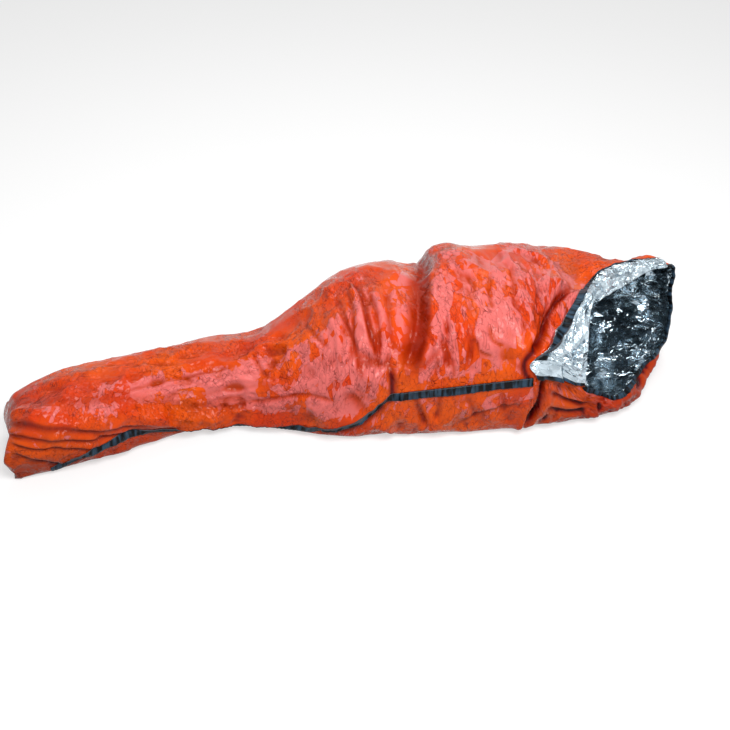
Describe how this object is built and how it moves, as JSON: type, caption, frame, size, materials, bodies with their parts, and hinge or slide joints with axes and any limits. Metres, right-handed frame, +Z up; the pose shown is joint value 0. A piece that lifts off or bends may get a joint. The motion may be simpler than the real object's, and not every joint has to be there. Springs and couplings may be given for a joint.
{
  "type": "emergency bivvy bag",
  "caption": "Emergency bivvy bag: crumpled film sack, orange outside and silver inside, with a gathered hood rim, a turned-back face flap and a side flap.",
  "frame": {"origin": "centre of the bag's box at ground level", "axes": "+X from the foot to the hood, -Y to the side of the face opening, +Z up from the ground"},
  "size_m": [2.0079, 0.6213, 0.4277],
  "materials": {
    "orange_film": "glossy crumpled film",
    "silver_film": "metallised film, crumpled",
    "black_tape": "smooth binding tape",
    "black_webbing": "matt pile",
    "stretch_cord": "matt"
  },
  "bodies": {
    "bag": {"upper_panel": "orange_film", "lower_panel": "orange_film", "hood_panel": "orange_film", "face_facing_film": "orange_film", "upper_lining": "silver_film", "lower_lining": "silver_film", "hood_lining": "silver_film", "face_facing_lining": "silver_film", "near_seam_tape": "black_tape", "far_seam_tape": "black_tape", "foot_seam_tape": "black_tape", "side_opening_hem": "black_tape", "face_facing_tape": "black_tape", "rim_binding": "black_tape", "side_loop_strip": "black_webbing", "rim_stretch_cord": "stretch_cord"},
    "face_flap": {"face_flap_film": "orange_film", "face_flap_lining": "silver_film", "face_flap_edge_tape": "black_tape", "face_flap_lower_tape": "black_tape"},
    "side_flap": {"side_flap": "black_tape", "side_flap_hooks": "black_webbing"}
  },
  "joints": [
    {"name": "face_flap_fold", "type": "hinge", "parent": "bag", "child": "face_flap", "pos_m": [0.61991, -0.27614, 0.14856], "axis": [-0.0602, -0.018, 0.998], "range_deg": [0, 135]},
    {"name": "side_flap_lift", "type": "hinge", "parent": "bag", "child": "side_flap", "pos_m": [0.08404, -0.23807, 0.19206], "axis": [-0.977, 0.1826, -0.1106], "range_deg": [0, 150]}
  ]
}
